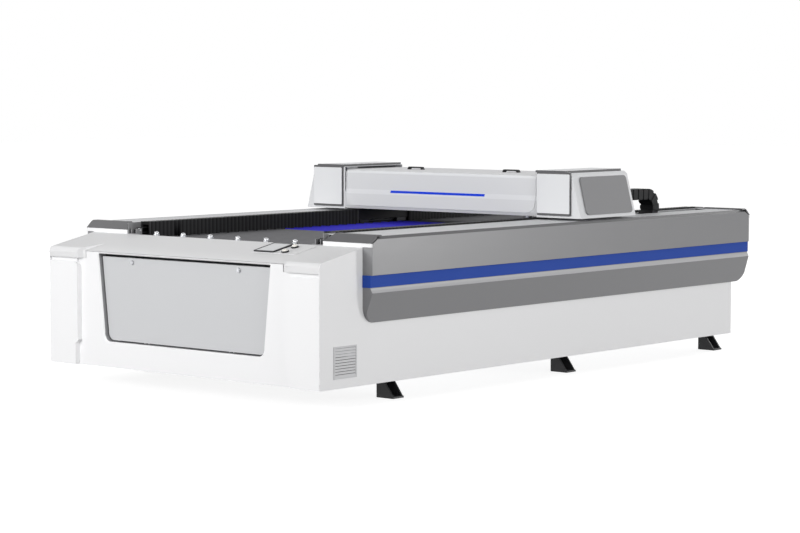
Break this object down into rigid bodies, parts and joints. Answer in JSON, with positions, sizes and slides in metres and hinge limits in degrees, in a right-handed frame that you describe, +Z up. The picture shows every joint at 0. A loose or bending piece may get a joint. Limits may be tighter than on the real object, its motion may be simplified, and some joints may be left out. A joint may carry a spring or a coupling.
{
  "type": "flatbed laser cutting machine",
  "caption": "Long white flatbed laser cutting machine with an open slatted bed, a travelling gantry over bellows-covered ways and a sloped control deck.",
  "frame": {"origin": "floor level under the middle of the machine's bounding box", "axes": "+X across the bed to the machine's right seen from behind the control deck's operator, +Y from the front cover to the rear, +Z up"},
  "size_m": [2.01, 3.63, 1.08],
  "materials": {
    "body_white": "satin",
    "deck_pale": "satin",
    "guard_grey": "satin",
    "stripe_blue": "satin",
    "cap_grey": "satin",
    "panel_silver": "satin",
    "side_grey": "satin",
    "plate_dark": "satin",
    "frame_dark": "satin",
    "foot_black": "satin",
    "bellows_black": "matte",
    "belt_black": "matte",
    "slat_dark": "brushed",
    "slat_blue": "satin",
    "ball_chrome": "polished",
    "rail_steel": "ground",
    "cast_alu": "machined",
    "motor_black": "satin",
    "screen_black": "gloss",
    "button_white": "gloss",
    "tube_glass": "clear",
    "chain_black": "matte",
    "handle_black": "matte"
  },
  "bodies": {
    "base": {"base_frame": "frame_dark", "floor_feet": "foot_black", "side_beams": "cap_grey", "side_panels": "body_white", "rear_panel": "body_white", "vent_louvre": "body_white", "front_fascia": "body_white", "corner_covers": "body_white", "front_deck": "deck_pale", "side_guards": "guard_grey", "guard_stripes": "stripe_blue", "top_plates": "body_white", "beam_caps": "cap_grey", "cap_plinths": "body_white", "guide_rails": "rail_steel", "y_belts": "belt_black", "front_bellows": "bellows_black", "rear_bellows": "bellows_black", "steel_slats": "slat_dark", "blue_slats": "slat_blue", "bed_frame": "frame_dark", "scrap_tray": "rail_steel", "ball_cups": "rail_steel", "control_panel": "deck_pale", "screen": "screen_black", "exhaust_spigots": "rail_steel", "cable_gland": "motor_black", "y_motors": "motor_black"},
    "gantry": {"gantry_beam": "cast_alu", "x_rail": "rail_steel", "carriages": "motor_black", "rail_blocks": "rail_steel", "front_cover": "panel_silver", "rear_cover": "panel_silver", "end_housings": "panel_silver", "end_front_plates": "panel_silver", "end_side_panels": "side_grey", "end_top_plates": "plate_dark", "laser_tube": "tube_glass", "x_drive": "motor_black", "x_belt": "belt_black", "chain_upper_run": "chain_black"},
    "head": {"head_carriage": "cast_alu"},
    "lens": {"lens_tube": "rail_steel"},
    "lid": {"gantry_lid": "panel_silver", "lid_handles": "handle_black"},
    "panel": {"access_panel": "panel_silver"},
    "left_latch": {"left_latch": "cast_alu"},
    "right_latch": {"right_latch": "cast_alu"},
    "drive_pulleys": {"drive_pulleys": "rail_steel"},
    "front_idlers": {"front_idlers": "rail_steel"},
    "chain_bend": {"chain_loop": "chain_black"},
    "start_button": {"start_button": "button_white"},
    "stop_button": {"stop_button": "button_white"},
    "ball_1": {"ball_1": "ball_chrome"},
    "ball_2": {"ball_2": "ball_chrome"},
    "ball_3": {"ball_3": "ball_chrome"},
    "ball_4": {"ball_4": "ball_chrome"},
    "ball_5": {"ball_5": "ball_chrome"},
    "ball_6": {"ball_6": "ball_chrome"}
  },
  "joints": [
    {"name": "gantry_travel", "type": "slide", "parent": "base", "child": "gantry", "axis": [0, 1, 0], "range_m": [-1.5, 0.74], "deforming": ["front_bellows", "rear_bellows"]},
    {"name": "head_travel", "type": "slide", "parent": "gantry", "child": "head", "axis": [1, 0, 0], "range_m": [-1.08, 0.02]},
    {"name": "focus_travel", "type": "slide", "parent": "head", "child": "lens", "axis": [0, 0, 1], "range_m": [-0.012, 0.04]},
    {"name": "lid_hinge", "type": "hinge", "parent": "gantry", "child": "lid", "pos_m": [0, 0.683, 1.044], "axis": [-1, 0, 0], "range_deg": [0, 75]},
    {"name": "panel_hinge", "type": "hinge", "parent": "base", "child": "panel", "pos_m": [0, -1.754, 0.248], "axis": [1, 0, 0], "range_deg": [0, 55]},
    {"name": "left_latch_turn", "type": "hinge", "parent": "panel", "child": "left_latch", "pos_m": [-0.377, -1.766, 0.641], "axis": [0, 1, 0], "range_deg": [0, 90]},
    {"name": "right_latch_turn", "type": "hinge", "parent": "panel", "child": "right_latch", "pos_m": [0.377, -1.766, 0.641], "axis": [0, 1, 0], "range_deg": [0, 90]},
    {"name": "drive_spin", "type": "hinge", "parent": "base", "child": "drive_pulleys", "pos_m": [0, 1.7405, 0.78], "axis": [1, 0, 0], "continuous": true},
    {"name": "idler_spin", "type": "hinge", "parent": "base", "child": "front_idlers", "pos_m": [0, -1.47, 0.78], "axis": [1, 0, 0], "continuous": true},
    {"name": "chain_slide", "type": "slide", "parent": "gantry", "child": "chain_bend", "axis": [0, 1, 0], "range_m": [-0.38, 0.76], "deforming": ["chain_upper_run"]},
    {"name": "start_button_press", "type": "slide", "parent": "base", "child": "start_button", "axis": [0, 0.1977, -0.9803], "range_m": [0, 0.004], "stiffness_N_per_m": 800, "springref_m": -0.001},
    {"name": "stop_button_press", "type": "slide", "parent": "base", "child": "stop_button", "axis": [0, 0.1977, -0.9803], "range_m": [0, 0.004], "stiffness_N_per_m": 800, "springref_m": -0.001},
    {"name": "ball_1_roll", "type": "hinge", "parent": "base", "child": "ball_1", "pos_m": [-0.49, -1.489, 0.77], "axis": [1, 0, 0], "continuous": true},
    {"name": "ball_2_roll", "type": "hinge", "parent": "base", "child": "ball_2", "pos_m": [-0.294, -1.489, 0.77], "axis": [1, 0, 0], "continuous": true},
    {"name": "ball_3_roll", "type": "hinge", "parent": "base", "child": "ball_3", "pos_m": [-0.098, -1.489, 0.77], "axis": [1, 0, 0], "continuous": true},
    {"name": "ball_4_roll", "type": "hinge", "parent": "base", "child": "ball_4", "pos_m": [0.098, -1.489, 0.77], "axis": [1, 0, 0], "continuous": true},
    {"name": "ball_5_roll", "type": "hinge", "parent": "base", "child": "ball_5", "pos_m": [0.294, -1.489, 0.77], "axis": [1, 0, 0], "continuous": true},
    {"name": "ball_6_roll", "type": "hinge", "parent": "base", "child": "ball_6", "pos_m": [0.49, -1.489, 0.77], "axis": [1, 0, 0], "continuous": true}
  ],
  "couplings": [
    {"joint": "drive_spin", "follows": "gantry_travel", "rad_per_m": -84.746},
    {"joint": "idler_spin", "follows": "gantry_travel", "rad_per_m": -84.746},
    {"joint": "chain_slide", "follows": "gantry_travel", "ratio": -0.5}
  ]
}
